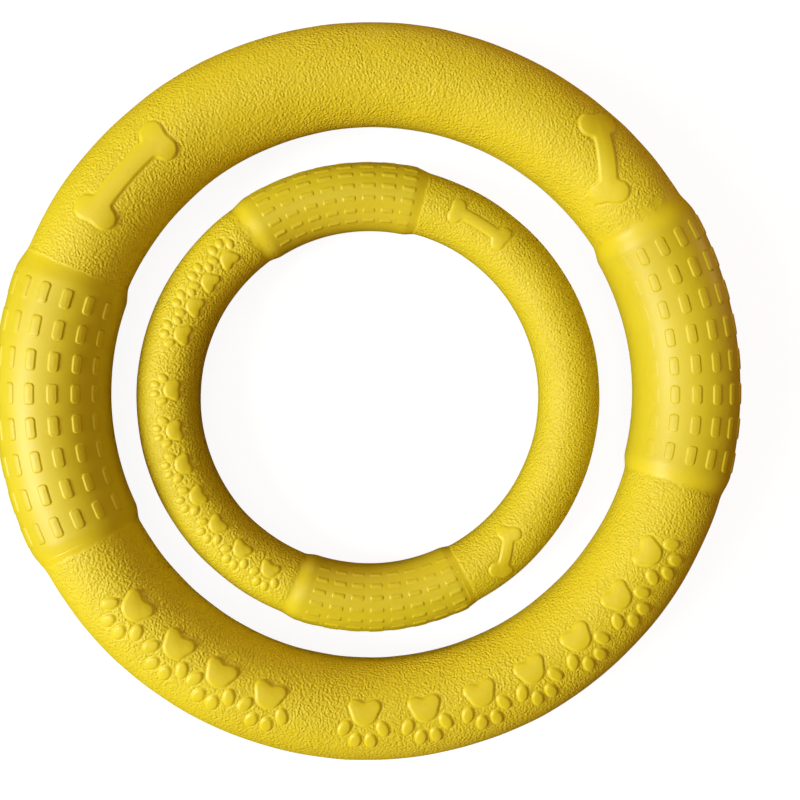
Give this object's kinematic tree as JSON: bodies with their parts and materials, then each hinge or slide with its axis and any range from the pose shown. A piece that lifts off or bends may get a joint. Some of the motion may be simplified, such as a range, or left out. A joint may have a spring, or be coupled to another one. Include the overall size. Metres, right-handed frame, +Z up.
{
  "type": "foam throwing ring set",
  "caption": "Nested set of a large and a small round-section foam ring, each with smooth nubbed grip sleeves and low raised marks on a grained skin.",
  "frame": {"origin": "under the centre of the large ring, at the height of the surface that both rings lie on", "axes": "+Z up through both rings, +X towards the large ring's right grip sleeve, +Y towards the plain stretch at the back of the large ring"},
  "size_m": [0.2838, 0.28, 0.0419],
  "materials": {
    "grained_foam": "closed-cell foam, moulded leather-like grain, matt",
    "smooth_sleeve": "smooth satin foam skin"
  },
  "bodies": {
    "large_ring": {"large_foam_ring": "grained_foam", "large_grip_sleeve_left": "smooth_sleeve", "large_grip_sleeve_right": "smooth_sleeve"},
    "small_ring": {"small_foam_ring": "grained_foam", "small_grip_sleeve_top": "smooth_sleeve", "small_grip_sleeve_bottom": "smooth_sleeve"}
  },
  "joints": [
    {"name": "small_ring_lift", "type": "slide", "parent": "large_ring", "child": "small_ring", "axis": [0, 0, 1], "range_m": [0, 0.08]}
  ]
}
